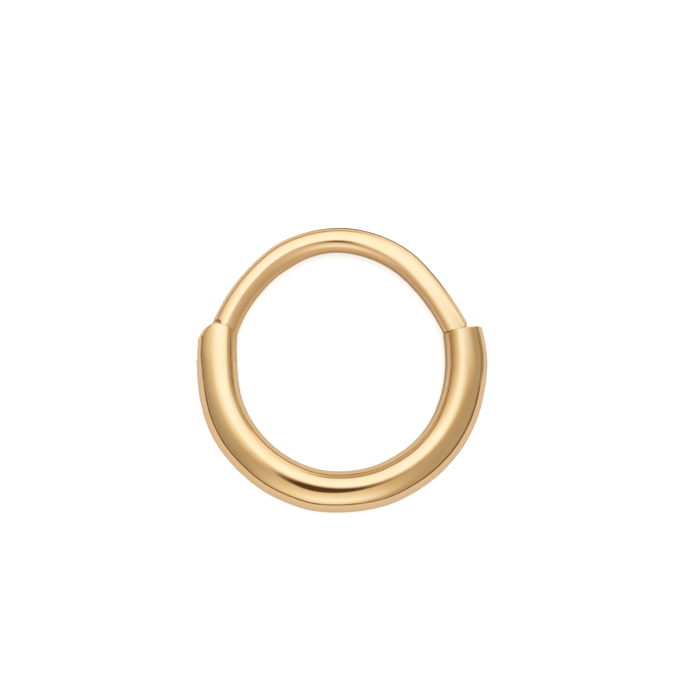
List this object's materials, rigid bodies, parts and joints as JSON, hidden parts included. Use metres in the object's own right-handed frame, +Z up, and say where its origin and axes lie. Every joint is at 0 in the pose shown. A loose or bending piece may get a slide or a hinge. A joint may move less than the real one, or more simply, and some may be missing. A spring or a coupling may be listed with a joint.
{
  "type": "hinged daith hoop",
  "caption": "Polished gold daith hoop on its side: a thick round tube below, and a thin bar above that swings on a hinge and drops into the tube's other end.",
  "frame": {"origin": "centre of the hoop's inner circle, on the surface that the hoop lies on", "axes": "+Z up, along the axis of the hoop's inner circle; +Y in the hoop's plane towards the top of the thin bar; +X in the hoop's plane towards the catch end, with the hinge at -X"},
  "size_m": [0.0112, 0.0111, 0.0016],
  "materials": {
    "tube_gold": "mirror polished",
    "bar_gold": "mirror polished",
    "pin_gold": "filed flush and polished"
  },
  "bodies": {
    "tube": {"hoop_tube": "tube_gold", "hinge_pin": "pin_gold"},
    "bar": {"ear_bar": "bar_gold"}
  },
  "joints": [
    {"name": "bar_hinge", "type": "hinge", "parent": "tube", "child": "bar", "pos_m": [-0.0048, 0.001, 0.0008], "axis": [0, 0, 1], "range_deg": [0, 90]}
  ]
}
